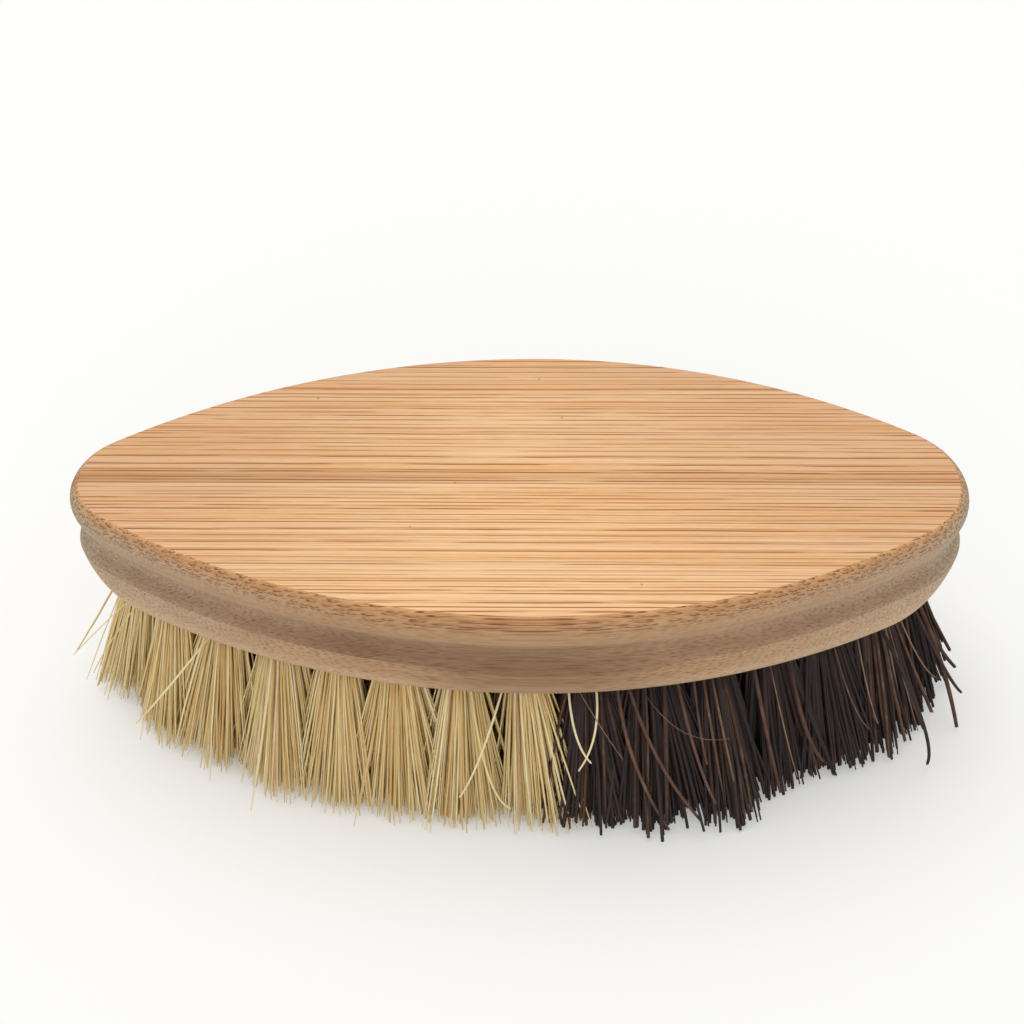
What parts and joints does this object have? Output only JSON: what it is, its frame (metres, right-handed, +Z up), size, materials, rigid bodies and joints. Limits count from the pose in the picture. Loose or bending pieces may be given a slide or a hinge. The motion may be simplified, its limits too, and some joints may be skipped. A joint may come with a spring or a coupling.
{
  "type": "vegetable brush",
  "caption": "Hand-held vegetable brush: an eye-shaped laminated bamboo block with a finger groove, set with tufts of pale fibre at one end and stiffer dark fibre at the other",
  "frame": {"origin": "Middle of the brush on the surface that the bristle tips stand on", "axes": "+X along the length towards the dark fibre, +Y across the width to the rear, +Z up through the flat top face"},
  "size_m": [0.1376, 0.06, 0.0425],
  "materials": {
    "bamboo": "sanded, satin",
    "pale_fibre": "dry plant fibre",
    "dark_fibre": "coarse dry palm fibre",
    "anchor_wire": "plain drawn wire"
  },
  "bodies": {
    "root": {"top_ply_front_strip": "bamboo", "top_ply_rear_strip": "bamboo", "core_ply_front_strip": "bamboo", "core_ply_rear_strip": "bamboo", "bottom_ply_front_strip": "bamboo", "bottom_ply_rear_strip": "bamboo", "pale_bristles": "pale_fibre", "dark_bristles": "dark_fibre", "pale_tuft_anchor_01": "anchor_wire", "pale_tuft_anchor_02": "anchor_wire", "pale_tuft_anchor_03": "anchor_wire", "pale_tuft_anchor_04": "anchor_wire", "pale_tuft_anchor_05": "anchor_wire", "pale_tuft_anchor_06": "anchor_wire", "pale_tuft_anchor_07": "anchor_wire", "pale_tuft_anchor_08": "anchor_wire", "pale_tuft_anchor_09": "anchor_wire", "pale_tuft_anchor_10": "anchor_wire", "pale_tuft_anchor_11": "anchor_wire", "pale_tuft_anchor_12": "anchor_wire", "pale_tuft_anchor_13": "anchor_wire", "pale_tuft_anchor_14": "anchor_wire", "pale_tuft_anchor_15": "anchor_wire", "pale_tuft_anchor_16": "anchor_wire", "pale_tuft_anchor_17": "anchor_wire", "pale_tuft_anchor_18": "anchor_wire", "pale_tuft_anchor_19": "anchor_wire", "pale_tuft_anchor_20": "anchor_wire", "pale_tuft_anchor_21": "anchor_wire", "pale_tuft_anchor_22": "anchor_wire", "pale_tuft_anchor_23": "anchor_wire", "pale_tuft_anchor_24": "anchor_wire", "pale_tuft_anchor_25": "anchor_wire", "pale_tuft_anchor_26": "anchor_wire", "pale_tuft_anchor_27": "anchor_wire", "dark_tuft_anchor_01": "anchor_wire", "dark_tuft_anchor_02": "anchor_wire", "dark_tuft_anchor_03": "anchor_wire", "dark_tuft_anchor_04": "anchor_wire", "dark_tuft_anchor_05": "anchor_wire", "dark_tuft_anchor_06": "anchor_wire", "dark_tuft_anchor_07": "anchor_wire", "dark_tuft_anchor_08": "anchor_wire", "dark_tuft_anchor_09": "anchor_wire", "dark_tuft_anchor_10": "anchor_wire", "dark_tuft_anchor_11": "anchor_wire", "dark_tuft_anchor_12": "anchor_wire", "dark_tuft_anchor_13": "anchor_wire", "dark_tuft_anchor_14": "anchor_wire", "dark_tuft_anchor_15": "anchor_wire", "dark_tuft_anchor_16": "anchor_wire", "dark_tuft_anchor_17": "anchor_wire", "dark_tuft_anchor_18": "anchor_wire", "dark_tuft_anchor_19": "anchor_wire", "dark_tuft_anchor_20": "anchor_wire", "dark_tuft_anchor_21": "anchor_wire", "dark_tuft_anchor_22": "anchor_wire"}
  },
  "joints": []
}
